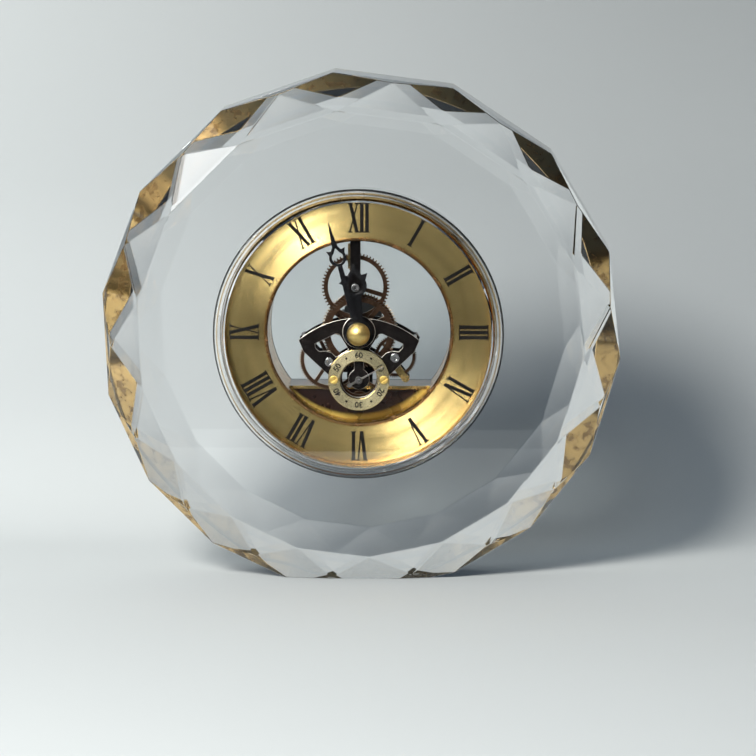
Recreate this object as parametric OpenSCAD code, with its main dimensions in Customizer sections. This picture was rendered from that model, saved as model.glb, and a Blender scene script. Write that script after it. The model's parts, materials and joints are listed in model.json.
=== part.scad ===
// Crystal desk clock with a skeleton movement in a round insert.
// The clock stands on the flat at the crystal's base, with its face towards -Y.
// Pieces are drawn face on, X to the right, Y up and Z towards the viewer, then stood up.

/* [Crystal] */
// Radius to the corners of the girdle
girdle_r = 80.4; // [76:0.2:84]
// Radius to the corners of the flat front table
table_r = 69; // [60:0.5:72]
// Radius to the corners of the flat back table
back_table_r = 63.5; // [58:0.5:70]
// Thickness between the two tables
crystal_t = 38; // [36:0.5:44]
// Depth of the front crown, from its table to the corners of the girdle band
crown_h = 8; // [6:0.5:10]
// Depth of the back crown, from its table to the corners of the girdle band
back_crown_h = 10.5; // [8:0.5:12]
// Depth of the star facets below the front table
star_depth = 4.6; // [3:0.1:5.4]
// Depth of the star facets below the back table
back_star_depth = 4.6; // [3:0.1:5.4]
// Number of kite facets round the crown
facet_count = 16; // [12:2:24]
// Turn of the first kite from the top, in degrees
first_facet = -4.2; // [-11:0.1:11]
// How far the kites crowd together towards the base, in degrees
facet_crowding = 10.2; // [0:0.1:14]
// Side of the base to which they crowd, in degrees
crowding_turn = 5.4; // [-15:0.1:15]
// Height of the insert's axis over the ground base
base_drop = 76.9; // [70:0.1:78]
// How far the crystal's outline sits to the right of the insert's axis
gem_shift_x = 0.4; // [-1:0.1:1]
// How far the crystal's outline sits above the insert's axis
gem_shift_y = -0.3; // [-1:0.1:1]

/* [Insert] */
// Outside diameter of the brass case ring
case_d = 83.6; // [80:0.1:90]
// Wall of the case ring
case_wall = 0.8; // [0.8:0.1:2]
// Depth of the case ring's rim below the crystal's face
case_recess = 3.8; // [3:0.1:4.4]
// Thickness of the gasket round the case
gasket_t = 1; // [0.6:0.1:2]
// Length of the gasket
gasket_l = 14; // [8:1:20]
// How far the lens flange reaches past the bore
lens_flange = 1.7; // [1:0.1:4]
// Height of the lens over the crystal's face
lens_h = 5.2; // [4.8:0.1:8]
// Thickness of the lens
lens_t = 1.8; // [1:0.1:2]
// Depth of the dial below the crystal's face
dial_depth = 5.4; // [5:0.1:5.8]
// Thickness of the dial and of the ledge under it
dial_t = 1; // [0.6:0.1:1.2]
// Diameter of the opening in the dial
opening_d = 56.2; // [54:0.2:60]
// Wall of the sleeve in the dial's opening
sleeve_wall = 0.6; // [0.4:0.1:1]
// Depth of the insert's rear face below the crystal's face
insert_depth = 30.6; // [30.6:0.1:34]
// Thickness of the rear cover and of the battery door
rear_t = 1.6; // [1:0.1:1.6]

/* [Numerals] */
// Radius to the feet of the Roman numerals
numeral_r = 30.8; // [30:0.1:31]
// Height of the Roman numerals
numeral_h = 9; // [6:0.1:9.2]
// Width of a numeral's thick strokes
thick_stroke = 1.05; // [0.6:0.05:1.3]
// Width of a numeral's thin strokes and serifs
thin_stroke = 0.4; // [0.2:0.05:0.6]
// Thickness of the print on the dials
print_t = 0.12; // [0.05:0.01:0.2]

/* [Plates] */
// Depth of the front plate below the crystal's face
plate_depth = 6; // [5.9:0.05:6.1]
// Thickness of the front and rear plates and of the upper bridge
plate_t = 1; // [0.6:0.05:1]
// Width of the upper bridge
bridge_w = 3.2; // [2.4:0.1:4]
// Half span of the plates' wings
wing_x = 18.6; // [18.4:0.1:20]
// Radius of the pillars between the plates
pillar_r = 0.65; // [0.4:0.05:0.7]
// Radius of the bearing bushes
bush_r = 1.35; // [1:0.05:1.6]

/* [Hands] */
// Length of the minute hand
minute_hand_l = 35.5; // [30:0.1:38]
// Length of the hour hand
hour_hand_l = 21.5; // [20:0.1:26]
// Length of the seconds hand
seconds_hand_l = 8.6; // [7:0.1:9.4]
// Thickness of the hour and minute hands
hand_t = 0.5; // [0.3:0.05:0.6]
// Diameter of the domed hand nut
nut_d = 7.1; // [6:0.1:8]
// Minute hand's angle, clockwise from the top
minute_angle = -15; // [-180:1:180]
// Hour hand's angle, clockwise from the top
hour_angle = -4; // [-180:0.5:180]
// Seconds hand's angle, clockwise from the top
seconds_angle = 61; // [-180:1:180]

/* [Seconds dial] */
// Drop of the seconds dial below the hands' axis
seconds_drop = 14.6; // [14.4:0.05:14.8]
// Outside diameter of the seconds dial
subdial_d = 18.9; // [18.5:0.1:20]
// Diameter of its opening
subdial_hole_d = 11.7; // [10:0.1:12.4]
// Thickness of the seconds dial
subdial_t = 0.7; // [0.5:0.05:0.8]
// Distance of each dial screw from the seconds axis
subdial_screw_x = 7.7; // [7.4:0.05:7.8]

/* [Gears] */
// Teeth on the cannon pinion and on the minute wheel it drives
cannon_teeth = 20; // [20:1:20]
minute_teeth = 60; // [60:1:60]
// Teeth on the minute pinion and on the hour wheel it drives
minute_pinion_teeth = 16; // [16:1:16]
hour_teeth = 64; // [64:1:64]
// Module of the four gears between the minute and hour hands
motion_module = 0.34; // [0.32:0.005:0.34]
// Teeth on the centre wheel and on the third pinion that drives it
centre_teeth = 75; // [75:1:75]
third_pinion_teeth = 10; // [10:1:10]
// Module of the centre wheel and third pinion
centre_module = 0.3075; // [0.305:0.0005:0.308]
// Teeth on the third wheel and on the seconds pinion that drives it
third_teeth = 80; // [80:1:80]
seconds_pinion_teeth = 10; // [10:1:10]
// Module of the third wheel and seconds pinion
third_module = 0.2344; // [0.232:0.0004:0.2344]
// Teeth on the seconds wheel and on the idler wheel
seconds_teeth = 60; // [60:1:60]
// Teeth on the first pinion that drives the seconds wheel
first_pinion_teeth = 10; // [10:1:10]
// Module of the seconds, idler and first pinion gears
idler_module = 0.215; // [0.212:0.001:0.216]
// Teeth on the first wheel and on the rotor pinion that drives it
first_teeth = 50; // [50:1:50]
rotor_pinion_teeth = 10; // [10:1:10]
// Module of the first wheel and rotor pinion
first_module = 0.12; // [0.11:0.002:0.12]
// Thickness of the wheels
wheel_t = 0.8; // [0.5:0.05:0.8]
// Radius of the small arbors
arbor_r = 0.6; // [0.45:0.01:0.62]
// Radius of the centre arbor that carries the minute hand
centre_arbor_r = 1.15; // [1:0.01:1.2]
// Wall of the hour pipe
pipe_wall = 0.65; // [0.5:0.05:0.8]

/* [Power] */
// Drop of the crescent housing's top below the hands' axis
housing_drop = 17.7; // [17.6:0.05:17.9]
// Wall of the housing
housing_wall = 1; // [0.8:0.1:1]
// Diameter of the dry cell
cell_d = 10.5; // [10.3:0.1:10.5]
// Length of the dry cell
cell_l = 44.5; // [40:0.5:45]
// Diameter of the set knob
knob_d = 14; // [10:0.5:16]
// Height of the set knob
knob_h = 5; // [3:0.1:6]

/* [Fits] */
// Radial clearance of an arbor in its bearing
running = 0.05; // [0.02:0.01:0.1]
// Clearance of a piece that is pushed on or dropped in
seating = 0.05; // [0.02:0.01:0.08]
// Clearance round the battery door
door_gap = 0.2; // [0.1:0.05:0.4]

/* [Hidden] */
$fn = 96;

case_r = case_d / 2;
case_inner_r = case_r - case_wall;
bore_r = case_r + gasket_t + 2 * seating;
lens_r = bore_r + lens_flange;
opening_r = opening_d / 2;
sleeve_r = opening_r + sleeve_wall;
subdial_r = subdial_d / 2;
subdial_hole_r = subdial_hole_d / 2;
cell_r = cell_d / 2;
pipe_bore_r = centre_arbor_r + 2 * running;
pipe_r = pipe_bore_r + pipe_wall;

// depths below the crystal's face, from the front to the back
minute_hand_depth = -0.4;
hour_hand_depth = minute_hand_depth + hand_t + 0.7;
seconds_hand_depth = 2.5;
subdial_depth = seconds_hand_depth + 1.2;
bridge_depth = plate_depth + plate_t;
hour_wheel_depth = bridge_depth + plate_t + 0.2;
minute_wheel_depth = hour_wheel_depth + wheel_t + 0.6;
centre_wheel_depth = minute_wheel_depth + wheel_t + 0.6;
third_wheel_depth = centre_wheel_depth + wheel_t + 0.6;
cover_depth = third_wheel_depth + wheel_t + 0.6;
cover_t = 0.8;
housing_depth = cover_depth + cover_t;
rear_plate_depth = housing_depth;
partition_depth = housing_depth + 2.8;
partition_t = 0.6;
rear_wall_depth = insert_depth - rear_t;
window_t = 1.2;
window_depth = rear_wall_depth - window_t;
knob_depth = insert_depth + 0.8;

// axes of the movement, seen from the front
centre_axis = [0, 0];
seconds_axis = [0, -seconds_drop];
minute_wheel_turn = 94.8;
minute_axis = along(centre_axis, minute_wheel_turn,
    motion_module * (cannon_teeth + minute_teeth) / 2);
third_axis = meet(centre_axis, centre_module * (centre_teeth + third_pinion_teeth) / 2,
    seconds_axis, third_module * (third_teeth + seconds_pinion_teeth) / 2);
idler_turn = 30.8;
idler_axis = along(seconds_axis, idler_turn, idler_module * seconds_teeth);
first_turn = -90;
first_axis = along(seconds_axis, first_turn,
    idler_module * (seconds_teeth + first_pinion_teeth) / 2);
rotor_turn = -30;
rotor_axis = along(first_axis, rotor_turn,
    first_module * (first_teeth + rotor_pinion_teeth) / 2);

// shares of a tooth pitch, from a tooth's middle to its flank
wheel_root_share = 0.28;
pinion_root_share = 0.25;
tip_share = 0.13;
addendum = 0.8;
dedendum = 1.2;

housing_r = case_inner_r - 0.7;
screw_head_r = 1.25;
screw_head_h = 0.6;
screw_slot = 0.3;
bush_flange_h = 0.25;
bush_step = 0.3;
bridge_bush_r = 1.2;
bezel_inset = 1.5;
pillar_at = [wing_x - 1.6, -2.2];
stay_head = [11, -10.4];
stay_foot = [14.3, -14.8];
stay_w = 2.2;
cell_y = -(housing_drop + housing_wall + cell_r + 0.4);
cell_depth = partition_depth + partition_t + cell_r + 0.2;
bay_half_l = cell_l / 2 + 1.6;
door_h = cell_d + 1.2;
coil_y = -33;
coil_half_l = 8;
coil_r = 1.3;
bridge_post_y = 33.5;
bridge_post_r = 2.5;

// point at a distance and an angle from another
function along(from, angle, distance) = from + distance * [cos(angle), sin(angle)];

// the left point that lies ra from a and rb from b, with b below a
function meet(a, ra, b, rb) =
    let(span = norm(b - a), u = (b - a) / span,
        x = (ra * ra - rb * rb + span * span) / (2 * span),
        h = sqrt(ra * ra - x * x))
    a + u * x - h * [-u[1], u[0]];

function angle_to(a, b) = atan2(b[1] - a[1], b[0] - a[0]);

// turn that puts gear b in mesh with gear a, whose first tooth points to turn_a
function in_mesh(teeth_a, turn_a, teeth_b, direction) =
    let(phase = (direction - turn_a) * teeth_a / 360)
    direction + 180 - (0.5 - phase) * 360 / teeth_b;

function arc(centre, r, from, to, steps) =
    [for (i = [0:steps]) along(centre, from + (to - from) * i / steps, r)];

idler_phase = in_mesh(seconds_teeth, 0, seconds_teeth, idler_turn);
third_phase = in_mesh(seconds_pinion_teeth, 0, third_teeth, angle_to(seconds_axis, third_axis));
centre_phase = in_mesh(third_pinion_teeth, 0, centre_teeth, angle_to(third_axis, centre_axis));
minute_phase = in_mesh(cannon_teeth, 0, minute_teeth, minute_wheel_turn);
hour_phase = in_mesh(minute_pinion_teeth, 0, hour_teeth, minute_wheel_turn + 180);
first_pinion_phase = in_mesh(seconds_teeth, 0, first_pinion_teeth, first_turn);
rotor_phase = in_mesh(first_teeth, 0, rotor_pinion_teeth, rotor_turn);

// stands a piece up, with the origin at the middle of the ground base
module stood() {
    translate([0, 0, base_drop]) rotate([90, 0, 0]) children();
}

// a flat piece of the insert, from its front depth back by its thickness
module slab(depth, t) {
    stood() translate([0, 0, crystal_t / 2 - depth - t]) linear_extrude(t) children();
}

// a turned piece of the insert, from radius and depth pairs
module turned(points) {
    stood() translate([0, 0, crystal_t / 2])
        rotate_extrude() polygon([for (p = points) [p[0], -p[1]]]);
}

module at(p) {
    translate([p[0], p[1]]) children();
}

// facets of the crystal

function kite_angle(k) =
    let(even = first_facet + k * 360 / facet_count)
    90 - even - facet_crowding * sin(even - crowding_turn);

function half_pitch(k) = (kite_angle(k) - kite_angle(k + 1)) / 2;
function on_ring(r, angle, z) = [r * cos(angle), r * sin(angle), z];

half_t = crystal_t / 2;

// radius of the table, depth of the crown and of its stars on the front, 1, or the back, -1
function face_r(side) = side > 0 ? table_r : back_table_r;
function crown_drop(side) = side > 0 ? crown_h : back_crown_h;
function star_drop(side) = side > 0 ? star_depth : back_star_depth;
function crown_slope(side) = crown_drop(side) / (girdle_r - face_r(side));
function star_r(side) = face_r(side) + star_drop(side) / crown_slope(side);

function table_corner(k, side) = on_ring(face_r(side), kite_angle(k), side * half_t);
function girdle_corner(k, side) =
    on_ring(girdle_r, kite_angle(k), side * (half_t - crown_drop(side)));
function star_tip(k, side) =
    on_ring(star_r(side) / cos(half_pitch(k)), kite_angle(k) - half_pitch(k),
        side * (half_t - star_drop(side)));

// faces of one crown as triangles, with corner rows of tables, tips and girdle from first
function crown_faces(first, n) = [for (k = [0:n - 1]) let(
        next = (k + 1) % n, table = first, tip = first + n, girdle = first + 2 * n)
    each [
        [table + k, tip + k, table + next],
        [table + next, tip + k, tip + next],
        [girdle + next, tip + next, tip + k],
        [girdle + k, girdle + next, tip + k]
    ]];

function flipped(faces) = [for (f = faces) [f[2], f[1], f[0]]];

module cut_gem() {
    n = facet_count;
    rows = [for (side = [1, -1]) each [
        for (k = [0:n - 1]) table_corner(k, side),
        for (k = [0:n - 1]) star_tip(k, side),
        for (k = [0:n - 1]) girdle_corner(k, side)
    ]];
    band = [for (k = [0:n - 1]) let(next = (k + 1) % n) each [
        [2 * n + k, 5 * n + k, 2 * n + next],
        [2 * n + next, 5 * n + k, 5 * n + next]
    ]];
    tables = [for (k = [1:n - 2]) each [[0, k, k + 1], [3 * n + k + 1, 3 * n + k, 3 * n]]];
    polyhedron(points = rows,
        faces = concat(flipped(crown_faces(0, n)), crown_faces(3 * n, n), flipped(band), tables),
        convexity = 2);
}

module crystal_block() {
    color("aliceblue", 0.35) stood() difference() {
        translate([gem_shift_x, gem_shift_y, 0]) cut_gem();
        cylinder(r = bore_r, h = 2 * crystal_t, center = true, $fn = 180);
        translate([-2 * girdle_r, -base_drop - girdle_r, -crystal_t])
            cube([4 * girdle_r, girdle_r, 2 * crystal_t]);
    }
}

// case of the insert

module insert_gasket() {
    color("whitesmoke", 0.6) slab(case_recess + 4, gasket_l) difference() {
        circle(r = bore_r - seating);
        circle(r = case_r + seating);
    }
}

module case_ring() {
    ledge_depth = dial_depth + dial_t;
    ledge_w = 1;
    rim_edge = 0.25;
    color("darkgoldenrod") turned([
        [case_inner_r + rim_edge, case_recess], [case_r - rim_edge, case_recess],
        [case_r, case_recess + rim_edge], [case_r, insert_depth], [case_inner_r, insert_depth],
        [case_inner_r, ledge_depth + dial_t], [case_inner_r - ledge_w, ledge_depth + dial_t],
        [case_inner_r - ledge_w, ledge_depth], [case_inner_r, ledge_depth],
        [case_inner_r, case_recess + rim_edge]
    ]);
}

module front_lens() {
    inner_r = case_r - 0.5;
    color("lightcyan", 0.3) turned([
        [0, lens_t - lens_h], [inner_r - 0.5, lens_t - lens_h], [inner_r, lens_t - lens_h + 0.5],
        [inner_r, case_recess], [bore_r - seating, case_recess], [bore_r - seating, 0],
        [lens_r, 0], [lens_r, -1], [lens_r - bezel_inset, 1 - lens_h],
        [lens_r - bezel_inset - 1, -lens_h], [0, -lens_h]
    ]);
}

module dial_ring() {
    color("gold") slab(dial_depth, dial_t) difference() {
        circle(r = case_inner_r - seating);
        circle(r = sleeve_r + seating);
    }
}

module dial_sleeve() {
    lip_r = sleeve_r + 0.4;
    bar_h = plate_t + 2 * seating;
    collar_depth = cover_depth - 0.1;
    color("peru") union() {
        slab(collar_depth, window_depth - collar_depth) intersection() {
            difference() {
                circle(r = sleeve_r);
                circle(r = opening_r);
            }
            above_housing();
        }
        difference() {
            turned([
                [opening_r, dial_depth - 0.1], [opening_r + 0.3, dial_depth - 0.5],
                [lip_r - 0.3, dial_depth - 0.5], [lip_r, dial_depth - 0.2], [lip_r, dial_depth],
                [sleeve_r, dial_depth], [sleeve_r, collar_depth], [opening_r, collar_depth]
            ]);
            slab(bridge_depth - seating, bar_h)
                at([minute_axis[0] - bridge_w / 2 - seating, opening_r - 2])
                square([bridge_w + 2 * seating, 5]);
        }
    }
}

// Roman numerals

letter_pitch = thick_stroke + 0.55;
letter_half = 1.55;

module stroke(x0, x1, w) {
    polygon([[x0 - w / 2, 0], [x0 + w / 2, 0], [x1 + w / 2, numeral_h], [x1 - w / 2, numeral_h]]);
}

module serif(x, y, w) {
    translate([x - w / 2, y]) square([w, thin_stroke * 0.7]);
}

module letter(name) {
    top = numeral_h - thin_stroke * 0.7;
    if (name == "I") {
        stroke(0, 0, thick_stroke);
        for (y = [0, top]) serif(0, y, thick_stroke + 0.7);
    }
    if (name == "V") {
        stroke(0, -letter_half + 0.4, thick_stroke);
        stroke(0.2, letter_half - 0.5, thin_stroke);
        serif(-letter_half + 0.4, top, thick_stroke + 0.6);
        serif(letter_half - 0.5, top, thick_stroke + 0.3);
    }
    if (name == "X") {
        stroke(letter_half - 0.5, -letter_half + 0.5, thick_stroke);
        stroke(-letter_half + 0.4, letter_half - 0.4, thin_stroke);
        for (y = [0, top]) {
            serif(-letter_half + 0.5, y, thick_stroke + 0.4);
            serif(letter_half - 0.5, y, thick_stroke + 0.4);
        }
    }
}

function letter_w(name) = name == "I" ? letter_pitch : 2 * letter_half + 0.3;
function width_before(word, i) = i == 0 ? 0 : width_before(word, i - 1) + letter_w(word[i - 1]);

module roman(word) {
    total = width_before(word, len(word));
    for (i = [0:len(word) - 1])
        translate([width_before(word, i) + letter_w(word[i]) / 2 - total / 2, 0]) letter(word[i]);
}

HOURS = ["XII", "I", "II", "III", "IV", "V", "VI", "VII", "VIII", "IX", "X", "XI"];

module hour_numerals() {
    color("black") slab(dial_depth - print_t, print_t)
        for (h = [0:11]) rotate(-30 * h) translate([0, numeral_r]) roman(HOURS[h]);
}

// rear of the insert

module above_housing() {
    translate([-case_r, -housing_drop + seating]) square([case_d, 2 * case_r]);
}

module door_outline(gap) {
    half_l = cell_l / 2 + 1 - gap;
    translate([-half_l, cell_y - door_h / 2 + gap]) square([2 * half_l, door_h - 2 * gap]);
}

module rear_cover() {
    tube_depth = cover_depth + 0.2;
    color("dimgray") union() {
        slab(rear_wall_depth, rear_t) difference() {
            circle(r = case_inner_r - seating);
            intersection() {
                circle(r = opening_r);
                above_housing();
            }
            door_outline(0);
        }
        slab(tube_depth, rear_wall_depth - tube_depth) intersection() {
            difference() {
                circle(r = sleeve_r + 1);
                circle(r = sleeve_r + seating);
            }
            above_housing();
        }
        slab(bridge_depth + plate_t, rear_wall_depth - bridge_depth - plate_t)
            at([minute_axis[0], bridge_post_y]) circle(r = bridge_post_r);
    }
}

module rear_window() {
    color("lightcyan", 0.3) slab(window_depth, window_t) difference() {
        intersection() {
            circle(r = sleeve_r);
            above_housing();
        }
        circle(r = centre_arbor_r + running);
    }
}

module battery_door() {
    grip_w = 10;
    color("dimgray") difference() {
        slab(rear_wall_depth, rear_t) door_outline(door_gap);
        for (i = [-2:2]) slab(insert_depth - 0.4, 1)
            translate([-grip_w / 2, cell_y + 1.6 * i - 0.3]) square([grip_w, 0.6]);
    }
}

// plates and bridge

arch_top = 4.3;
wing_tip = [wing_x, -2.6];
arch_r = (wing_x * wing_x + pow(arch_top - wing_tip[1], 2)) / (2 * (arch_top - wing_tip[1]));
arch_half = asin(wing_x / arch_r);

module wings() {
    polygon(concat(
        arc([0, arch_top - arch_r], arch_r, 90 + arch_half, 90 - arch_half, 32),
        [[17.1, -6.2], [9.2, -13.6], [-9.2, -13.6], [-17.1, -6.2]]
    ));
}

module wing_windows() {
    for (side = [-1, 1]) scale([side, 1])
        polygon([[13.5, -3.7], [7.2, -0.6], [6.1, -0.7], [3.2, -5.4], [7, -7.8], [8.4, -6.5],
            [10.2, -5.9], [12.3, -6.1], [13.4, -4.9]]);
}

module arbor_holes(axes) {
    for (p = axes) at(p) circle(r = arbor_r + running);
}

module front_plate() {
    boss_r = 3.2;
    collar_r = 5;
    collar_h = 0.35;
    arm_w = 3;
    color([0.08, 0.07, 0.07]) slab(plate_depth - collar_h, collar_h) difference() {
        circle(r = collar_r);
        circle(r = pipe_r + 2 * running);
    }
    color([0.08, 0.07, 0.07]) slab(plate_depth, plate_t) difference() {
        union() {
            difference() {
                union() {
                    wings();
                    at(seconds_axis) circle(r = subdial_screw_x + screw_head_r);
                }
                wing_windows();
                at(seconds_axis) circle(r = subdial_hole_r - 0.2);
            }
            at(seconds_axis) circle(r = boss_r);
            at(seconds_axis) translate([-arm_w / 2, 0]) square([arm_w, subdial_hole_r + 1]);
        }
        circle(r = pipe_r + 2 * running);
        for (p = [third_axis, idler_axis]) at(p) circle(r = bush_r - bush_step + seating);
        arbor_holes([seconds_axis, first_axis]);
        for (side = [-1, 1]) at([side * subdial_screw_x, -seconds_drop])
            circle(r = arbor_r + seating);
    }
}

module rear_plate() {
    tongue_w = 8;
    arm_w = bridge_w - 0.4;
    color([0.08, 0.07, 0.07]) slab(rear_plate_depth, plate_t) difference() {
        union() {
            difference() {
                wings();
                wing_windows();
            }
            at(seconds_axis) circle(r = 4);
            at([-tongue_w / 2 + seating, -housing_drop - 2.6])
                square([tongue_w - 2 * seating, 8]);
            at([minute_axis[0] - arm_w / 2, 0]) square([arm_w, minute_axis[1]]);
            at(minute_axis) circle(r = 2.6);
            at(stay_foot) circle(r = stay_w / 2);
            stay_arm(stay_w);
        }
        circle(r = centre_arbor_r + running);
        arbor_holes([seconds_axis, third_axis, idler_axis, minute_axis]);
        for (side = [-1, 1]) at([side * pillar_at[0], pillar_at[1]])
            circle(r = pillar_r + seating);
    }
}

module upper_bridge() {
    foot_lap = 1.2;
    foot_y = arch_top - foot_lap;
    top_y = bridge_post_y + bridge_post_r;
    boss_r = 3.1;
    color([0.1, 0.09, 0.08]) slab(bridge_depth, plate_t) difference() {
        union() {
            at([minute_axis[0] - bridge_w / 2, foot_y]) square([bridge_w, top_y - foot_y]);
            at(minute_axis) circle(r = boss_r);
        }
        at(minute_axis) circle(r = bridge_bush_r - bush_step + seating);
        at([minute_axis[0], bridge_post_y]) circle(r = arbor_r + seating);
    }
}

module bridge_strip() {
    strip_bottom = minute_axis[1] + 5.8;
    strip_t = 0.5;
    strip_w = 1.5;
    strip_shows = 0.7;
    color("goldenrod") slab(bridge_depth + plate_t, strip_t)
        at([minute_axis[0] - bridge_w / 2 - strip_shows, strip_bottom])
        square([strip_w, opening_r - 1 - strip_bottom]);
}

// a slotted screw seen from the front, its head over a shank
module screw(p, depth, head_r, shank_l) {
    difference() {
        union() {
            slab(depth - screw_head_h, screw_head_h) at(p) circle(r = head_r);
            slab(depth, shank_l) at(p) circle(r = arbor_r);
        }
        slab(depth - screw_head_h - 0.1, screw_slot + 0.1)
            at(p) rotate(35) square([2 * head_r + 1, 0.4], center = true);
    }
}

module bridge_screw() {
    color("silver") screw([minute_axis[0], bridge_post_y], bridge_depth, 1.5, plate_t);
}

module plate_pillars() {
    color("silver") for (side = [-1, 1])
        slab(bridge_depth, rear_plate_depth + plate_t - bridge_depth)
            at([side * pillar_at[0], pillar_at[1]]) circle(r = pillar_r);
}

module pillar_screws() {
    color("silver") for (side = [-1, 1])
        slab(rear_plate_depth + plate_t, 0.5)
            at([side * pillar_at[0], pillar_at[1]]) circle(r = pillar_r + 0.5);
}

module bush(p, depth, r) {
    difference() {
        union() {
            slab(depth - bush_flange_h, bush_flange_h) at(p) circle(r = r);
            slab(depth, plate_t) at(p) circle(r = r - bush_step);
        }
        slab(depth - plate_t, 3 * plate_t) at(p) circle(r = arbor_r + running);
    }
}

module bearing_bushes() {
    color("gainsboro") {
        for (p = [third_axis, idler_axis]) bush(p, plate_depth, bush_r);
        bush(minute_axis, bridge_depth, bridge_bush_r);
    }
}

// brass strip across the edge of the idler wheel, with a post to each plate
module side_stay() {
    strip_depth = bridge_depth + plate_t + 0.3;
    post_r = 0.9;
    color("goldenrod") union() {
        slab(strip_depth, wheel_t) {
            at(stay_foot) circle(r = stay_w / 2);
            stay_arm(stay_w);
        }
        slab(bridge_depth, strip_depth - bridge_depth) at(stay_head) circle(r = post_r);
        slab(strip_depth, rear_plate_depth - strip_depth) at(stay_foot) circle(r = post_r);
    }
}

module stay_arm(w) {
    at(stay_head) rotate(angle_to(stay_head, stay_foot))
        translate([0, -w / 2]) square([norm(stay_foot - stay_head), w]);
}

// seconds dial

module subdial_ring() {
    color("khaki") slab(subdial_depth, subdial_t) difference() {
        at(seconds_axis) circle(r = subdial_r);
        at(seconds_axis) circle(r = subdial_hole_r);
        for (side = [-1, 1]) at([side * subdial_screw_x, -seconds_drop])
            circle(r = arbor_r + seating);
    }
}

module subdial_dots() {
    dots_r = (subdial_r + subdial_hole_r) / 2;
    color("black") slab(subdial_depth - print_t, print_t)
        for (a = [30, 150, 210, 330]) at(along(seconds_axis, 90 - a, dots_r)) circle(r = 0.34);
}

module subdial_spacers() {
    back = subdial_depth + subdial_t;
    color("silver") for (side = [-1, 1]) slab(back, plate_depth - back)
        at([side * subdial_screw_x, -seconds_drop]) difference() {
            circle(r = 1.2);
            circle(r = arbor_r + seating);
        }
}

module subdial_screws() {
    color("gold") for (side = [-1, 1])
        screw([side * subdial_screw_x, -seconds_drop], subdial_depth, screw_head_r,
            plate_depth + 0.8 * plate_t - subdial_depth);
}

// crescent housing, its cell and the quartz module

module segment(r) {
    intersection() {
        circle(r = r);
        translate([-case_r, -2 * case_r - housing_drop]) square([case_d, 2 * case_r]);
    }
}

module battery_housing() {
    tongue_w = 8;
    inner_drop = housing_drop + housing_wall;
    end_h = cell_d + 1;
    color([0.1, 0.06, 0.05]) union() {
        slab(housing_depth, rear_wall_depth - housing_depth) difference() {
            segment(housing_r);
            intersection() {
                circle(r = housing_r - housing_wall);
                translate([-case_r, -2 * case_r - inner_drop]) square([case_d, 2 * case_r]);
            }
            at([-tongue_w / 2, -inner_drop - 1]) square([tongue_w, 3]);
        }
        slab(housing_depth + plate_t, rear_wall_depth - housing_depth - plate_t)
            at([-tongue_w / 2 - 1, -inner_drop]) square([tongue_w + 2, housing_wall]);
        slab(partition_depth, partition_t) segment(housing_r - housing_wall / 2);
        for (side = [-1, 1]) slab(partition_depth, rear_wall_depth - partition_depth)
            at([side * (bay_half_l + 0.5) - 0.5, -inner_drop - end_h]) square([1, end_h + 0.5]);
    }
}

module housing_cover() {
    color([0.16, 0.07, 0.05]) slab(cover_depth, cover_t) difference() {
        segment(housing_r);
        at(rotor_axis) circle(r = rotor_arbor_r + running);
        arbor_holes([first_axis]);
    }
}

module housing_edge() {
    edge_t = 0.45;
    edge_h = 1;
    half_l = sqrt(pow(opening_r, 2) - pow(housing_drop + edge_h, 2)) - 0.1;
    color("goldenrod") slab(cover_depth - edge_t, edge_t)
        translate([-half_l, -housing_drop - edge_h]) square([2 * half_l, edge_h]);
}

module dry_cell() {
    cap_l = 0.8;
    color("slategray") stood() translate([0, cell_y, crystal_t / 2 - cell_depth]) rotate([0, 90, 0])
        union() {
            translate([0, 0, -cell_l / 2]) cylinder(r = cell_r, h = cell_l - cap_l);
            translate([0, 0, cell_l / 2 - cap_l]) cylinder(r = 1.9, h = cap_l);
        }
}

module cell_contacts() {
    leaf_t = 0.4;
    leaf_h = 7;
    color("silver") for (side = [-1, 1]) stood()
        translate([side * (bay_half_l - leaf_t / 2), cell_y, crystal_t / 2 - cell_depth]) union() {
            cube([leaf_t, leaf_h, leaf_h], center = true);
            rotate([0, -90 * side, 0]) cylinder(r = 2, h = bay_half_l - (cell_l + leaf_t) / 2 - seating);
        }
}

board_t = 0.6;
board_w = 18;
board_h = 9;
board_depth = partition_depth - 0.1 - board_t;
board_corner = [-24, -29.5];

module circuit_board() {
    hole_inset = 2;
    color("darkgreen") slab(board_depth, board_t) difference() {
        at(board_corner) square([board_w, board_h]);
        at(board_corner + [hole_inset, board_h - hole_inset]) circle(r = arbor_r);
    }
}

module clock_chip() {
    chip_w = 3.6;
    chip_t = 0.8;
    chip_inset = [9.2, 1.2];
    color([0.05, 0.05, 0.05]) slab(board_depth - chip_t, chip_t)
        at(board_corner + chip_inset) square([chip_w, chip_w]);
}

module quartz_can() {
    can_r = 0.75;
    can_l = 6;
    can_at = board_corner + [3, 6.5];
    color("silver") stood()
        translate([can_at[0], can_at[1], crystal_t / 2 - board_depth + can_r + seating])
        rotate([0, 90, 0]) cylinder(r = can_r, h = can_l);
}

module coil_axis() {
    stood() translate([0, coil_y, crystal_t / 2 - (housing_depth + partition_depth) / 2])
        rotate([0, 90, 0]) children();
}

module coil_bobbin() {
    flange_t = 0.6;
    color("ivory") coil_axis() difference() {
        union() {
            cylinder(r = 0.75, h = 2 * coil_half_l, center = true);
            for (side = [-1, 1]) translate([0, 0, side * (coil_half_l - flange_t / 2)])
                cylinder(r = coil_r, h = flange_t, center = true);
        }
        cylinder(r = 0.5, h = 3 * coil_half_l, center = true);
    }
}

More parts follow.
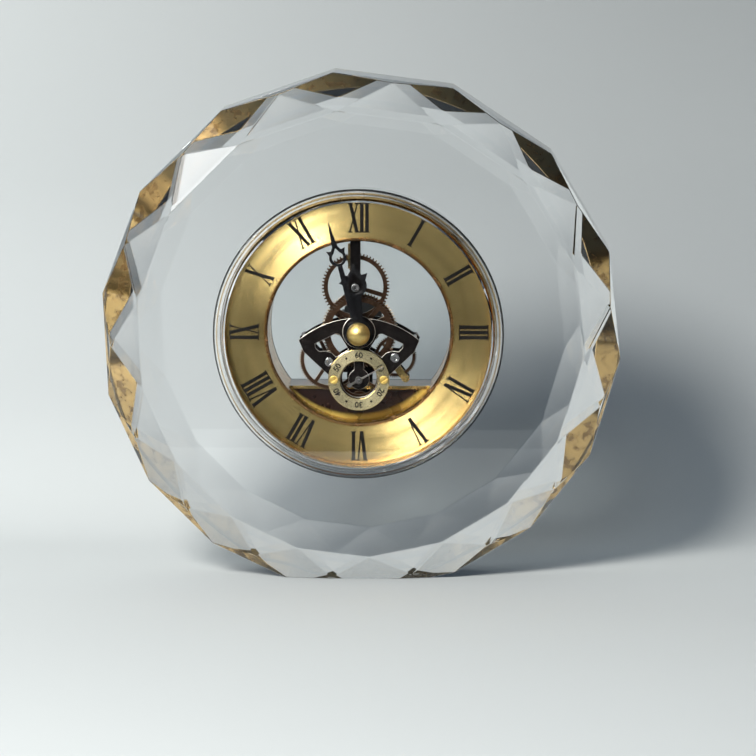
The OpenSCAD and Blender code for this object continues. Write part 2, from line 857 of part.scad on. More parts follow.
module coil_winding() {
    wire_l = 2 * (coil_half_l - 0.6 - seating);
    turns = 22;
    pitch = wire_l / turns;
    ribs = [for (i = [0:turns - 1]) each [
        [1.02, i * pitch - wire_l / 2], [1.2, (i + 0.5) * pitch - wire_l / 2]
    ]];
    color("chocolate") coil_axis() rotate_extrude() polygon(concat(
        [[0.8, -wire_l / 2]], ribs, [[1.02, wire_l / 2], [0.8, wire_l / 2]]
    ));
}

stator_depth = (housing_depth + partition_depth) / 2 - 0.25;
magnet_r = 1.3;
rotor_arbor_r = 0.4;

module stator() {
    ring_r = 2.6;
    leg_w = 2;
    right_x = coil_half_l + 1.6;
    left_x = -right_x;
    pole_y = rotor_axis[1];
    color("gray") union() {
        slab(stator_depth, 0.5) difference() {
            union() {
                at(rotor_axis) circle(r = ring_r);
                for (x = [left_x, right_x]) at([x - leg_w / 2, coil_y - 0.6])
                    square([leg_w, pole_y + leg_w / 2 + 0.6 - coil_y]);
                at([left_x, pole_y - leg_w / 2]) square([right_x - left_x, leg_w]);
            }
            at(rotor_axis) circle(r = magnet_r + 0.3);
        }
        coil_axis() translate([0, 0, left_x]) cylinder(r = 0.45, h = right_x - left_x);
    }
}

// gears, each with its axis at the origin

function gear_outline(teeth, mod, root_share) =
    let(r = mod * teeth / 2, step = 360 / teeth) [
        for (i = [0:teeth - 1]) each [
            along([0, 0], (i - root_share) * step, r - dedendum * mod),
            along([0, 0], (i - tip_share) * step, r + addendum * mod),
            along([0, 0], (i + tip_share) * step, r + addendum * mod),
            along([0, 0], (i + root_share) * step, r - dedendum * mod)
        ]
    ];

module pinion(axis, depth, t, teeth, mod, phase, bore) {
    slab(depth, t) at(axis) rotate(phase) difference() {
        polygon(gear_outline(teeth, mod, pinion_root_share));
        circle(r = bore);
    }
}

// rim, hub and spokes of a crossed-out wheel
module wheel(axis, depth, teeth, mod, phase, bore, rim_w, hub_r, spoke_w, spoke_turn) {
    inner_r = mod * teeth / 2 - dedendum * mod - rim_w;
    slab(depth, wheel_t) at(axis) difference() {
        rotate(phase) polygon(gear_outline(teeth, mod, wheel_root_share));
        difference() {
            circle(r = inner_r);
            circle(r = hub_r);
            for (a = [0, 120, 240]) rotate(spoke_turn + a)
                translate([0, -spoke_w / 2]) square([inner_r + rim_w / 2, spoke_w]);
        }
        circle(r = bore);
    }
}

module arbor(axis, front, back, r = arbor_r) {
    slab(front, back - front) at(axis) circle(r = r);
}

pinion_over = 0.2;
pinion_t = wheel_t + 2 * pinion_over;
rear_pivot = rear_plate_depth + plate_t - 0.1;

module rotor_magnet() {
    magnet_t = 1.5;
    magnet_front = stator_depth - 0.5;
    color("darkslategray") slab(magnet_front, magnet_t) at(rotor_axis) difference() {
        circle(r = magnet_r);
        circle(r = rotor_arbor_r + seating);
    }
}

module rotor_pinion() {
    color("silver") union() {
        pinion(rotor_axis, third_wheel_depth - pinion_over, pinion_t,
            rotor_pinion_teeth, first_module, rotor_phase, 0);
        arbor(rotor_axis, third_wheel_depth + wheel_t, partition_depth - 0.3, rotor_arbor_r);
    }
}

module first_wheel() {
    color("peru") wheel(first_axis, third_wheel_depth, first_teeth, first_module, 0,
        arbor_r + seating, 0.6, 1.1, 0.6, 20);
}

module first_pinion() {
    color("silver") union() {
        pinion(first_axis, minute_wheel_depth - pinion_over, pinion_t,
            first_pinion_teeth, idler_module, first_pinion_phase, 0);
        arbor(first_axis, plate_depth + 0.1, cover_depth + 0.7 * cover_t);
    }
}

module idler_wheel() {
    color("saddlebrown") wheel(idler_axis, minute_wheel_depth, seconds_teeth, idler_module,
        idler_phase, arbor_r + seating, 0.9, 1.6, 0.9, 15);
}

module idler_arbor() {
    color("silver") arbor(idler_axis, plate_depth - bush_flange_h + 0.1, rear_pivot);
}

module seconds_wheel() {
    color("saddlebrown") wheel(seconds_axis, minute_wheel_depth, seconds_teeth, idler_module,
        0, arbor_r + seating, 0.9, 1.6, 0.9, 90);
}

module seconds_arbor() {
    color("silver") union() {
        pinion(seconds_axis, third_wheel_depth - pinion_over, pinion_t,
            seconds_pinion_teeth, third_module, 0, 0);
        arbor(seconds_axis, seconds_hand_depth - 0.2, rear_pivot);
    }
}

module seconds_hand() {
    tail_l = 3.2;
    color("silver") slab(seconds_hand_depth, 0.3) at(seconds_axis) rotate(-seconds_angle)
        difference() {
            union() {
                circle(r = 1.15);
                polygon([[-0.35, -tail_l], [0.35, -tail_l], [0.12, seconds_hand_l],
                    [-0.12, seconds_hand_l]]);
                translate([0, -tail_l]) circle(r = 0.75);
            }
            circle(r = arbor_r + seating);
        }
}

module third_wheel() {
    color("saddlebrown") wheel(third_axis, third_wheel_depth, third_teeth, third_module,
        third_phase, arbor_r + seating, 1.1, 1.9, 1.1, -123);
}

module third_pinion() {
    color("silver") union() {
        pinion(third_axis, centre_wheel_depth - pinion_over, pinion_t,
            third_pinion_teeth, centre_module, 0, 0);
        arbor(third_axis, plate_depth - bush_flange_h + 0.1, rear_pivot);
    }
}

module centre_wheel() {
    collet_r = 2.2;
    color("saddlebrown") union() {
        wheel(centre_axis, centre_wheel_depth, centre_teeth, centre_module, centre_phase,
            centre_arbor_r + running, 1.3, 3, 1.3, 25);
        slab(centre_wheel_depth + wheel_t, 1.6) difference() {
            circle(r = collet_r);
            circle(r = centre_arbor_r + running);
        }
    }
}

module centre_arbor() {
    color("silver") arbor(centre_axis, minute_hand_depth - 0.6, knob_depth + knob_h - 1,
        centre_arbor_r);
}

module cannon_pinion() {
    color("goldenrod") pinion(centre_axis, minute_wheel_depth - pinion_over, pinion_t,
        cannon_teeth, motion_module, 0, centre_arbor_r + seating);
}

module set_knob() {
    grooves = 20;
    color("dimgray") difference() {
        slab(knob_depth, knob_h) difference() {
            circle(r = knob_d / 2);
            for (i = [0:grooves - 1]) rotate(i * 360 / grooves)
                translate([knob_d / 2 + 0.2, 0]) circle(r = 0.6, $fn = 24);
        }
        slab(knob_depth - 1, knob_h + 0.1) circle(r = centre_arbor_r + seating);
    }
}

module minute_wheel() {
    color("saddlebrown") wheel(minute_axis, minute_wheel_depth, minute_teeth, motion_module,
        minute_phase, arbor_r + seating, 1.25, 2.4, 1.3, -17);
}

module minute_pinion() {
    color("silver") union() {
        pinion(minute_axis, hour_wheel_depth - pinion_over / 2, wheel_t + pinion_over,
            minute_pinion_teeth, motion_module, 0, 0);
        arbor(minute_axis, bridge_depth - bush_flange_h + 0.1, rear_pivot);
    }
}

module hour_wheel() {
    color("saddlebrown") wheel(centre_axis, hour_wheel_depth, hour_teeth, motion_module,
        hour_phase, pipe_r + seating, 1.5, 3.6, 1.4, 50);
}

module hour_pipe() {
    color("goldenrod") slab(hour_hand_depth - 0.2, minute_wheel_depth - pinion_over - 0.1
        - hour_hand_depth + 0.2) difference() {
        circle(r = pipe_r);
        circle(r = pipe_bore_r);
    }
}

// hands, drawn pointing up

// open loop with pointed shoulders, at a distance up the hand
module loop_outer(y, r) {
    translate([0, y]) circle(r = r);
    translate([0, y]) polygon([[r * 0.8, r * 0.1], [r * 1.12, r * 1.02], [r * 0.62, r * 0.9],
        [0, r * 1.75], [-r * 0.62, r * 0.9], [-r * 1.12, r * 1.02], [-r * 0.8, r * 0.1]]);
}

module loop_hole(y, r) {
    translate([0, y]) circle(r = r);
    translate([0, y]) polygon([[r * 0.82, r * 0.4], [0, r * 1.75], [-r * 0.82, r * 0.4]]);
}

module barbs(y, w) {
    polygon([[-w, y + 0.1], [-0.6, y - 0.75], [0.6, y - 0.75], [w, y + 0.1],
        [0.6, y + 0.75], [-0.6, y + 0.75]]);
}

minute_loop_y = 0.685 * minute_hand_l;
hour_loop_y = 0.69 * hour_hand_l;

module minute_hand() {
    loop_r = 2.65;
    color([0.04, 0.04, 0.04]) slab(minute_hand_depth, hand_t) rotate(-minute_angle) difference() {
        union() {
            circle(r = nut_d / 2 + 0.1);
            polygon([[-1.1, 0], [1.1, 0], [0.7, minute_loop_y], [-0.7, minute_loop_y]]);
            barbs(minute_loop_y - 7.8, 1.75);
            loop_outer(minute_loop_y, loop_r);
            polygon([[-0.95, minute_loop_y + 1.1 * loop_r], [0.95, minute_loop_y + 1.1 * loop_r],
                [0.13, minute_hand_l], [-0.13, minute_hand_l]]);
        }
        loop_hole(minute_loop_y, loop_r - 0.9);
        circle(r = centre_arbor_r + seating);
    }
}

module hour_hand() {
    hub_r = 4.2;
    loop_r = 3.6;
    loop_w = 1.1;
    stem_half = 1.65;
    point_y = hour_loop_y + 1.1 * loop_r;
    color([0.04, 0.04, 0.04]) slab(hour_hand_depth, hand_t) rotate(-hour_angle) difference() {
        union() {
            circle(r = hub_r);
            polygon([[-stem_half, 0], [stem_half, 0], [stem_half, hour_loop_y - loop_r],
                [loop_w, hour_loop_y - loop_w], [-loop_w, hour_loop_y - loop_w],
                [-stem_half, hour_loop_y - loop_r]]);
            loop_outer(hour_loop_y, loop_r);
            polygon([[-loop_w, point_y], [loop_w, point_y], [0.2, hour_hand_l],
                [-0.2, hour_hand_l]]);
        }
        loop_hole(hour_loop_y, loop_r - loop_w);
        circle(r = pipe_r + seating);
    }
}

module hand_nut() {
    dome_h = 2.4;
    nut_r = nut_d / 2;
    ball_r = (nut_r * nut_r + dome_h * dome_h) / (2 * dome_h);
    hole_h = 0.8;
    half = asin(nut_r / ball_r);
    color("gold") turned(concat(
        [[centre_arbor_r + seating, minute_hand_depth], [nut_r, minute_hand_depth]],
        [for (i = [1:16]) [ball_r * sin(half * (1 - i / 16)),
            minute_hand_depth - dome_h + ball_r * (1 - cos(half * (1 - i / 16)))]],
        [[0, minute_hand_depth - hole_h], [centre_arbor_r + seating, minute_hand_depth - hole_h]]
    ));
}

crystal_block();
insert_gasket();
case_ring();
front_lens();
dial_ring();
hour_numerals();
dial_sleeve();
rear_cover();
rear_window();
battery_door();
upper_bridge();
bridge_strip();
bridge_screw();
front_plate();
rear_plate();
plate_pillars();
pillar_screws();
bearing_bushes();
side_stay();
subdial_ring();
subdial_dots();
subdial_spacers();
subdial_screws();
battery_housing();
housing_cover();
housing_edge();
dry_cell();
cell_contacts();
circuit_board();
clock_chip();
quartz_can();
coil_bobbin();
coil_winding();
stator();
rotor_magnet();
rotor_pinion();
first_wheel();
first_pinion();
idler_wheel();
idler_arbor();
seconds_wheel();
seconds_arbor();
seconds_hand();
third_wheel();
third_pinion();
centre_wheel();
centre_arbor();
cannon_pinion();
minute_hand();
hand_nut();
set_knob();
minute_wheel();
minute_pinion();
hour_wheel();
hour_pipe();
hour_hand();
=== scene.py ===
"""Crystal desk clock: finishes, fine pieces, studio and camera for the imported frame.

The frame holds every rigid piece at its real size. This script gives each piece its finish,
puts chamfered copies where the real edges catch the light, adds the seconds dial's numbers,
and stands the clock on a pale paper sweep.
"""
from __future__ import annotations

import json
import logging
import math
from dataclasses import dataclass, field
from enum import Enum
from typing import Any, Iterable

import bmesh
import bpy
from mathutils import Matrix, Vector

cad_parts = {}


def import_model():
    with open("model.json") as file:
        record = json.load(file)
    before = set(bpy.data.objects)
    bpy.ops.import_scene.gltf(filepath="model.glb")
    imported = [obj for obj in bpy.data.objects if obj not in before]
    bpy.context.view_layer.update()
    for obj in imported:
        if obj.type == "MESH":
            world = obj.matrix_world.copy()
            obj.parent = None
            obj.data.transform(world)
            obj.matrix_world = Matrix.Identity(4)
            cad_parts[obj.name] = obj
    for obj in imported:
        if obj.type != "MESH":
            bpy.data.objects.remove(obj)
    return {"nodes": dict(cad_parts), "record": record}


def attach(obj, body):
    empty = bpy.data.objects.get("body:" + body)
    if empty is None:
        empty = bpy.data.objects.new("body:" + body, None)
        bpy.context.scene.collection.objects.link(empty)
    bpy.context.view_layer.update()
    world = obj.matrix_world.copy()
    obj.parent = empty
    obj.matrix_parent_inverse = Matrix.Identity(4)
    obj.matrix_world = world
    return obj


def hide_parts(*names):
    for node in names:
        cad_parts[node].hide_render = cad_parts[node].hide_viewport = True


log = logging.getLogger("desk_clock")

MM = 0.001
AXIS_HEIGHT = 76.9 * MM
HALF_THICKNESS = 19.0 * MM
SECONDS_DROP = 14.6 * MM

# Points closer than WELD become one, and faces that differ by less than FLAT_ANGLE one face.
WELD = 0.001 * MM
FLAT_ANGLE = math.radians(0.5)
# An edge is chamfered above SHARP_ANGLE, and shaded as an edge above CREASE_ANGLE.
SHARP_ANGLE = math.radians(40.0)
CREASE_ANGLE = math.radians(28.0)
# How far a normal points along Y: above FACE_ON on a front or back, within SLANT on a chamfer.
FACE_ON = 0.99
SLANT = (0.1, 0.98)

Colour = tuple[float, float, float]
Span = tuple[float, float]


class Signal:
    """One output socket of a material, used in ordinary Python arithmetic."""

    def __init__(self, graph: Graph, socket: bpy.types.NodeSocket) -> None:
        """Keeps the socket and the graph that it belongs to."""
        self.graph = graph
        self.socket = socket

    def _maths(self, operation: str, *values: Signal | float) -> Signal:
        """Adds a Math node.

        Args:
            operation: The node's operation.
            values: Its inputs, in order.

        Returns:
            The node's value.
        """
        inputs = dict(enumerate(values))
        return self.graph.add("ShaderNodeMath", {"operation": operation}, inputs)["Value"]

    def __add__(self, other: Signal | float) -> Signal:
        """Sum."""
        return self._maths("ADD", self, other)

    def __rsub__(self, other: float) -> Signal:
        """Difference from a number."""
        return self._maths("SUBTRACT", other, self)

    def __mul__(self, other: Signal | float) -> Signal:
        """Product."""
        return self._maths("MULTIPLY", self, other)

    def __truediv__(self, other: Signal | float) -> Signal:
        """Quotient."""
        return self._maths("DIVIDE", self, other)

    def highest(self, other: Signal | float) -> Signal:
        """The larger of the two."""
        return self._maths("MAXIMUM", self, other)

    def sine(self) -> Signal:
        """Sine of an angle in radians."""
        return self._maths("SINE", self)

    def step(self, low: float, high: float) -> Signal:
        """Rises smoothly from 0 at low to 1 at high.

        Args:
            low: Where the rise starts.
            high: Where it ends.

        Returns:
            The risen value.
        """
        node = self.graph.add(
            "ShaderNodeMapRange", {"interpolation_type": "SMOOTHSTEP"},
            {"Value": self, "From Min": low, "From Max": high})
        return node["Result"]


class Made:
    """A node that has been added, whose outputs are read by name."""

    def __init__(self, graph: Graph, node: bpy.types.Node) -> None:
        """Keeps the node."""
        self.graph = graph
        self.node = node

    def __getitem__(self, name: str) -> Signal:
        """The output of that name."""
        found = [s for s in self.node.outputs if s.name == name and s.enabled]
        return Signal(self.graph, found[0])


@dataclass(frozen=True)
class Pattern:
    """A noise: its waves in a metre, its octaves and the strength of the finer ones."""

    scale: float
    detail: float = 2.0
    roughness: float = 0.5


class Graph:
    """The node tree of one material or of the world."""

    def __init__(self, tree: bpy.types.NodeTree) -> None:
        """Empties the tree."""
        self.tree = tree
        tree.nodes.clear()

    def add(self, kind: str, settings: dict[str, Any] | None = None,
            inputs: dict[str | int, Any] | None = None) -> Made:
        """Adds a node.

        Args:
            kind: The node's type.
            settings: Its properties.
            inputs: Values or links for its sockets, by name or number.

        Returns:
            The added node.
        """
        node = self.tree.nodes.new(kind)
        for name, value in (settings or {}).items():
            setattr(node, name, value)
        for key, value in (inputs or {}).items():
            if isinstance(key, int):
                socket = node.inputs[key]
            else:
                socket = [s for s in node.inputs if s.name == key and s.enabled][0]
            if isinstance(value, Signal):
                self.tree.links.new(value.socket, socket)
            else:
                socket.default_value = value
        return Made(self, node)

    def mix_colours(self, factor: Signal | float, low: Any, high: Any) -> Signal:
        """Blends two colours.

        Args:
            factor: 0 for low and 1 for high.
            low: A colour or a link.
            high: A colour or a link.

        Returns:
            The blended colour.
        """
        return self.add("ShaderNodeMix", {"data_type": "RGBA"}, {
            "Factor": factor,
            "A": low if isinstance(low, Signal) else (*low, 1.0),
            "B": high if isinstance(high, Signal) else (*high, 1.0),
        })["Result"]

    def vectors(self, operation: str, *values: Any) -> Signal:
        """Adds a Vector Math node.

        Args:
            operation: The node's operation.
            values: Its inputs, in order.

        Returns:
            The node's vector.
        """
        inputs = dict(enumerate(values))
        return self.add("ShaderNodeVectorMath", {"operation": operation}, inputs)["Vector"]

    def scaled(self, vector: Signal, factor: Signal | float) -> Signal:
        """The vector times a number."""
        return self.add("ShaderNodeVectorMath", {"operation": "SCALE"},
                        {"Vector": vector, "Scale": factor})["Vector"]

    def place(self) -> Signal:
        """Object coordinates, in metres."""
        return self.add("ShaderNodeTexCoord")["Object"]

    def off_axis(self, axis: tuple[float, float]) -> tuple[Signal, Signal]:
        """The way out from an axis that runs along Y.

        Args:
            axis: Where the axis runs, in X and Z.

        Returns:
            The vector out from the axis, and its length.
        """
        from_axis = self.vectors("SUBTRACT", self.place(), (axis[0], 0.0, axis[1]))
        out = self.vectors("MULTIPLY", from_axis, (1.0, 0.0, 1.0))
        return out, self.add("ShaderNodeVectorMath", {"operation": "LENGTH"}, {0: out})["Value"]

    def noise(self, pattern: Pattern) -> Signal:
        """Noise over the surface.

        Args:
            pattern: How coarse and how detailed it is.

        Returns:
            The noise, about 0.5.
        """
        return self.add("ShaderNodeTexNoise", None, {
            "Vector": self.place(), "Scale": pattern.scale, "Detail": pattern.detail,
            "Roughness": pattern.roughness})["Fac"]

    def bump(self, height: Signal, depth: float) -> Signal:
        """Adds a bump.

        Args:
            height: The height, from 0 to 1.
            depth: What a height of 1 stands for, in metres.

        Returns:
            The bumped normal.
        """
        return self.add("ShaderNodeBump", None, {
            "Height": height, "Distance": depth, "Strength": 1.0})["Normal"]

    def surface(self, shader: Signal) -> None:
        """Ends the tree in that shader."""
        self.add("ShaderNodeOutputMaterial", None, {"Surface": shader})

    def principled(self, **sockets: Any) -> Signal:
        """A Principled shader.

        Args:
            sockets: Its sockets by name, with _ for each blank.

        Returns:
            The shader.
        """
        inputs = {}
        for name, value in sockets.items():
            title = name.replace("_", " ").title().replace("Ior", "IOR")
            if isinstance(value, tuple) and len(value) == 3:
                value = (*value, 1.0)
            inputs[title] = value
        return self.add("ShaderNodeBsdfPrincipled", None, inputs)["BSDF"]


@dataclass(frozen=True)
class Finish:
    """What a surface is made of. Each kind builds its own material."""

    name: str

    def material(self) -> bpy.types.Material:
        """The material, made once for each finish.

        Returns:
            The material.
        """
        made = bpy.data.materials.get(self.name + "_finish")
        if made is None:
            made = bpy.data.materials.new(self.name + "_finish")
            made.use_nodes = True
            self.build(Graph(made.node_tree))
        return made

    def build(self, graph: Graph) -> None:
        """Adds the nodes."""
        raise NotImplementedError


@dataclass(frozen=True)
class ClearGlass(Finish):
    """Polished clear glass that lets lamp light through to what it covers."""

    refraction: float = 1.52
    tint: Colour = (1.0, 1.0, 1.0)
    polish: float = 0.0
    shade: Colour = (0.9, 0.92, 0.94)
    smears: Pattern = Pattern(35.0, 3.0)
    smear_span: Span = (0.55, 0.8)
    smear_dulling: float = 0.006

    def build(self, graph: Graph) -> None:
        """Adds the nodes. The shade is how much lamp light falls through the glass."""
        smear = graph.noise(self.smears).step(*self.smear_span)
        glass = graph.principled(
            base_color=self.tint, roughness=smear * self.smear_dulling + self.polish,
            ior=self.refraction, transmission_weight=1.0)
        clear = graph.add("ShaderNodeBsdfTransparent", None, {"Color": (*self.shade, 1.0)})["BSDF"]
        path = graph.add("ShaderNodeLightPath")
        casting = path["Is Shadow Ray"].highest(path["Is Diffuse Ray"])
        mixed = graph.add("ShaderNodeMixShader", None, {0: casting, 1: glass, 2: clear})
        graph.surface(mixed["Shader"])


@dataclass(frozen=True)
class SpunMetal(Finish):
    """Metal brushed in rings round an axis, which opens highlights into fans."""

    colour: Colour
    deep: Colour
    centre: tuple[float, float] = (0.0, AXIS_HEIGHT)
    groove: float = 0.09 * MM
    slope: float = 0.45
    swirl: float = 5.0
    roughness: float = 0.23
    ridges: float = 40.0
    rings: Pattern = Pattern(1.0, 3.0, 0.7)
    ring_span: Span = (0.3, 0.62)
    ring_share: float = 0.8
    cloud: Pattern = Pattern(90.0, 4.0, 0.6)
    cloud_share: float = 0.2
    cloud_dulling: float = 0.06

    def build(self, graph: Graph) -> None:
        """Adds the nodes. The swirl, in degrees, leans the fans off the straight way out."""
        out, radius = graph.off_axis(self.centre)
        outward = graph.add("ShaderNodeVectorRotate", {"rotation_type": "Y_AXIS"}, {
            "Vector": graph.vectors("NORMALIZE", out),
            "Angle": math.radians(self.swirl)})["Vector"]
        rings = graph.add("ShaderNodeTexNoise", {"noise_dimensions": "1D"}, {
            "W": radius / self.groove, "Scale": self.rings.scale,
            "Detail": self.rings.detail, "Roughness": self.rings.roughness})["Fac"]
        tilt = (rings * self.ridges).sine() * self.slope
        facing = graph.add("ShaderNodeNewGeometry")["Normal"]
        normal = graph.vectors(
            "NORMALIZE", graph.vectors("ADD", facing, graph.scaled(outward, tilt)))
        cloud = graph.noise(self.cloud)
        shine = rings.step(*self.ring_span) * self.ring_share + cloud * self.cloud_share
        graph.surface(graph.principled(
            base_color=graph.mix_colours(shine, self.deep, self.colour), metallic=1.0,
            roughness=cloud * self.cloud_dulling + self.roughness, normal=normal))


@dataclass(frozen=True)
class SolidMetal(Finish):
    """Machined or polished metal with faint handling marks and tarnish."""

    colour: Colour
    tarnish: Colour
    roughness: float = 0.2
    marks: float = 0.004 * MM
    film: Pattern = Pattern(260.0, 5.0, 0.65)
    stain_span: Span = (0.42, 0.68)
    stain_dulling: float = 0.14
    grain: Pattern = Pattern(2600.0)
    grain_dulling: float = 0.06

    def build(self, graph: Graph) -> None:
        """Adds the nodes."""
        film = graph.noise(self.film)
        fine = graph.noise(self.grain)
        stain = film.step(*self.stain_span)
        graph.surface(graph.principled(
            base_color=graph.mix_colours(stain, self.colour, self.tarnish), metallic=1.0,
            roughness=stain * self.stain_dulling + fine * self.grain_dulling + self.roughness,
            normal=graph.bump(fine, self.marks)))


@dataclass(frozen=True)
class Lacquer(Finish):
    """Black or brown gloss over metal or plastic, with a thin clear coat."""

    colour: Colour
    fade: Colour
    roughness: float = 0.16
    coat: float = 0.7
    coat_roughness: float = 0.06
    ripple: float = 0.01 * MM
    ripples: Pattern = Pattern(900.0)
    cloud: Pattern = Pattern(120.0, 4.0, 0.6)
    cloud_span: Span = (0.4, 0.7)
    cloud_dulling: float = 0.08
    dust: Pattern = Pattern(5200.0, 1.0)
    dust_span: Span = (0.72, 0.8)
    dust_dulling: float = 0.25
    dust_cover: float = 0.4

    def build(self, graph: Graph) -> None:
        """Adds the nodes."""
        cloud = graph.noise(self.cloud)
        dust = graph.noise(self.dust).step(*self.dust_span)
        graph.surface(graph.principled(
            base_color=graph.mix_colours(cloud.step(*self.cloud_span), self.colour, self.fade),
            roughness=cloud * self.cloud_dulling + dust * self.dust_dulling + self.roughness,
            coat_weight=self.coat - dust * self.dust_cover,
            coat_roughness=self.coat_roughness,
            normal=graph.bump(graph.noise(self.ripples), self.ripple)))


@dataclass(frozen=True)
class ReflectionPaintedLacquer(Finish):
    """Gloss cover with a painted reflection of the brass sleeve: a yellow metallic crescent along
    its lower edge.
    """

    colour: Colour
    sleeve_reflection_colour: Colour
    middle: tuple[float, float] = (-1.0 * MM, AXIS_HEIGHT + 2.5 * MM)
    reach: float = 29.3 * MM
    blur: float = 0.9 * MM
    roughness: float = 0.24
    coat: float = 0.3
    coat_roughness: float = 0.05
    ripple: float = 0.004 * MM
    ripples: Pattern = Pattern(900.0)
    drift: Pattern = Pattern(160.0, 3.0)
    drift_dulling: float = 0.08
    least_painted_reflection: float = 0.7
    uneven_painted_reflection: float = 0.5
    metal_share: float = 0.4

    def build(self, graph: Graph) -> None:
        """Adds the nodes. The painted reflection starts at the reach, measured from the middle."""
        radius = graph.off_axis(self.middle)[1]
        drift = graph.noise(self.drift)
        # Painted reflection of the brass sleeve: yellow metal in a soft crescent, made uneven by
        # the drift noise.
        crescent = radius.step(self.reach - self.blur, self.reach + self.blur)
        painted_reflection = crescent * (drift * self.uneven_painted_reflection + self.least_painted_reflection)
        graph.surface(graph.principled(
            base_color=graph.mix_colours(painted_reflection, self.colour, self.sleeve_reflection_colour),
            metallic=painted_reflection * self.metal_share,
            roughness=drift * self.drift_dulling + self.roughness,
            coat_weight=self.coat, coat_roughness=self.coat_roughness,
            normal=graph.bump(graph.noise(self.ripples), self.ripple)))


@dataclass(frozen=True)
class Moulding(Finish):
    """Moulded plastic or rubber with a fine spark-eroded grain."""

    colour: Colour
    roughness: float = 0.45
    depth: float = 0.012 * MM
    grain: Pattern = Pattern(4200.0, 2.0, 0.6)
    cloud: Pattern = Pattern(75.0, 3.0)
    cloud_span: Span = (0.45, 0.75)
    cloud_dulling: float = 0.15
    wear_gain: float = 1.35
    wear_lift: float = 0.01

    def build(self, graph: Graph) -> None:
        """Adds the nodes."""
        grain = graph.noise(self.grain)
        cloud = graph.noise(self.cloud)
        worn = tuple(min(1.0, c * self.wear_gain + self.wear_lift) for c in self.colour)
        graph.surface(graph.principled(
            base_color=graph.mix_colours(cloud.step(*self.cloud_span), self.colour, worn),
            roughness=cloud * self.cloud_dulling + self.roughness,
            normal=graph.bump(grain, self.depth)))


@dataclass(frozen=True)
class Ink(Finish):
    """Printed ink with a slight gloss and uneven density."""

    colour: Colour
    thin: Colour
    roughness: float = 0.3
    gloss: float = 0.25
    depth: float = 0.01 * MM
    density: Pattern = Pattern(1500.0, 3.0, 0.6)
    thin_span: Span = (0.5, 0.8)
    density_dulling: float = 0.2

    def build(self, graph: Graph) -> None:
        """Adds the nodes."""
        density = graph.noise(self.density)
        graph.surface(graph.principled(
            base_color=graph.mix_colours(density.step(*self.thin_span), self.colour, self.thin),
            roughness=density * self.density_dulling + self.roughness,
            specular_ior_level=self.gloss, normal=graph.bump(density, self.depth)))


@dataclass(frozen=True)
class Winding(Finish):
    """Enamelled wire laid side by side round a bobbin that lies along X, with painted shade
    between the turns.
    """

    colour: Colour
    wire: float = 0.12 * MM
    roughness: float = 0.25
    crest_dulling: float = 0.1
    metal_share: float = 0.85
    depth: float = 0.05 * MM
    painted_gap_shade: float = 0.35
    waves_at_scale_one: float = 3.2
    unevenness: float = 0.2

    def build(self, graph: Graph) -> None:
        """Adds the nodes."""
        scale = 1.0 / self.wire / self.waves_at_scale_one
        wave = graph.add("ShaderNodeTexWave", {"bands_direction": "X", "wave_profile": "SIN"}, {
            "Vector": graph.place(), "Scale": scale, "Distortion": self.unevenness})["Fac"]
        # Painted shade: the colour darkens in the troughs between the turns.
        dark = tuple(c * self.painted_gap_shade for c in self.colour)
        graph.surface(graph.principled(
            base_color=graph.mix_colours(wave, dark, self.colour), metallic=self.metal_share,
            roughness=wave * self.crest_dulling + self.roughness,
            normal=graph.bump(wave, self.depth)))


@dataclass(frozen=True)
class SolderMask(Finish):
    """Green board with its tracks showing under the mask."""

    colour: Colour = (0.01, 0.10, 0.045)
    track: Colour = (0.05, 0.26, 0.11)
    roughness: float = 0.3
    coat: float = 0.4
    depth: float = 0.03 * MM
    cells_scale: float = 520.0
    cells_randomness: float = 0.55
    track_span: Span = (0.42, 0.5)

    def build(self, graph: Graph) -> None:
        """Adds the nodes."""
        cells = graph.add("ShaderNodeTexVoronoi", {"feature": "F1", "distance": "MANHATTAN"}, {
            "Vector": graph.place(), "Scale": self.cells_scale,
            "Randomness": self.cells_randomness})["Distance"]
        tracks = cells.step(*self.track_span)
        graph.surface(graph.principled(
            base_color=graph.mix_colours(tracks, self.colour, self.track),
            roughness=self.roughness, coat_weight=self.coat,
            normal=graph.bump(tracks, self.depth)))


@dataclass(frozen=True)
class CellWrap(Finish):
    """Printed foil wrap of a dry cell: dark body with a metal-coloured band at one end."""

    body: Colour = (0.05, 0.055, 0.07)
    band: Colour = (0.62, 0.4, 0.16)
    band_from: float = 12.0 * MM
    band_blur: float = 0.1 * MM
    roughness: float = 0.22
    metal_share: float = 0.8
    depth: float = 0.01 * MM
    film: Pattern = Pattern(800.0, 3.0)
    film_dulling: float = 0.15

    def build(self, graph: Graph) -> None:
        """Adds the nodes."""
        along = graph.add("ShaderNodeSeparateXYZ", None, {"Vector": graph.place()})["X"]
        on_band = along.step(self.band_from, self.band_from + self.band_blur)
        film = graph.noise(self.film)
        graph.surface(graph.principled(
            base_color=graph.mix_colours(on_band, self.body, self.band),
            metallic=self.metal_share, roughness=film * self.film_dulling + self.roughness,
            normal=graph.bump(film, self.depth)))


